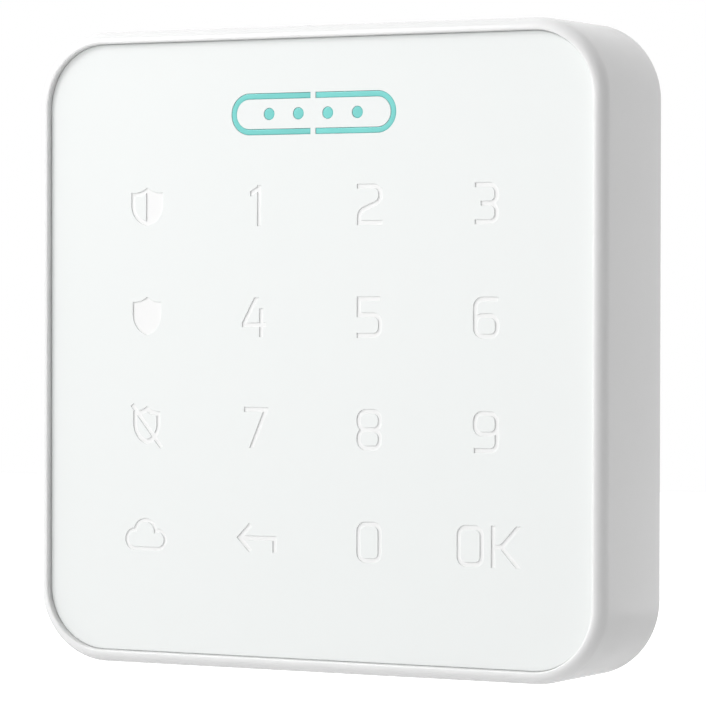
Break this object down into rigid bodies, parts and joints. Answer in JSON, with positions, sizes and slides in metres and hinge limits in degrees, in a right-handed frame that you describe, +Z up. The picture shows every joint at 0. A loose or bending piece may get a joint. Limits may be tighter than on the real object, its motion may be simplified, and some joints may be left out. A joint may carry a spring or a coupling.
{
  "type": "wall keypad",
  "caption": "Slim square wall keypad: white tub case, glossy engraved touch panel with a lit outline, battery bay, and a keyhole wall bracket it slides up off.",
  "frame": {"origin": "middle of the keypad's outline, on the bracket's rear face, which lies on the wall", "axes": "+Z up, +Y into the wall, the touch panel faces -Y, +X to the right as the user sees it"},
  "size_m": [0.1, 0.021, 0.1],
  "materials": {
    "bracket_white": "fine matte moulded ABS",
    "rear_white": "fine matte moulded ABS",
    "case_white": "smooth satin-gloss white ABS",
    "panel_gloss": "polished white acrylic with a faint green cast",
    "status_teal": "clear moulded light pipe, lit turquoise from behind",
    "adhesive_tape": "black foam tape",
    "diffuser": "milky film",
    "frame_white": "matt white reflector plastic",
    "board_green": "solder mask over glass laminate",
    "led_white": "phosphor under clear resin",
    "led_teal": "clear resin",
    "black_plastic": "matt glass-filled nylon",
    "chip_black": "moulded epoxy",
    "shield_metal": "tinned sheet steel",
    "antenna_brass": "plated strip",
    "capacitor_sleeve": "shrink sleeve",
    "natural_plastic": "natural acetal",
    "spring_steel": "drawn wire, nickel plated",
    "cell_sleeve": "printed sleeve over a steel can",
    "nickel_plate": "bright nickel plate",
    "screw_steel": "zinc plated",
    "label_paper": "matt polyester label, left blank"
  },
  "bodies": {
    "bracket": {"wall_bracket": "bracket_white"},
    "keypad": {"rear_cover": "rear_white", "front_case": "case_white", "touch_panel": "panel_gloss", "status_light": "status_teal", "panel_gasket": "adhesive_tape", "light_guide": "diffuser", "light_frame": "frame_white", "touch_board": "board_green", "key_leds": "led_white", "status_leds": "led_teal", "board_header": "black_plastic", "board_socket": "black_plastic", "main_board": "board_green", "controller_chip": "chip_black", "radio_module": "shield_metal", "antenna": "antenna_brass", "crystal": "shield_metal", "buzzer": "black_plastic", "buffer_capacitor": "capacitor_sleeve", "tamper_switch": "black_plastic", "tamper_spring": "spring_steel", "power_switch": "black_plastic", "battery_cells": "cell_sleeve", "contact_springs": "spring_steel", "contact_plates": "nickel_plate", "case_screws": "screw_steel", "board_screws": "screw_steel", "blank_label": "label_paper"},
    "tamper_plunger": {"tamper_plunger": "natural_plastic"},
    "power_slider": {"power_slider": "natural_plastic"}
  },
  "joints": [
    {"name": "keypad_slide", "type": "slide", "parent": "bracket", "child": "keypad", "axis": [0, 0, 1], "range_m": [0, 0.007]},
    {"name": "tamper_slide", "type": "slide", "parent": "keypad", "child": "tamper_plunger", "axis": [0, 1, 0], "range_m": [0, 0.0014], "deforming": ["tamper_spring"]},
    {"name": "power_slide", "type": "slide", "parent": "keypad", "child": "power_slider", "axis": [1, 0, 0], "range_m": [0, 0.0025]}
  ],
  "couplings": [
    {"joint": "tamper_slide", "follows": "keypad_slide", "ratio": 0.2}
  ]
}
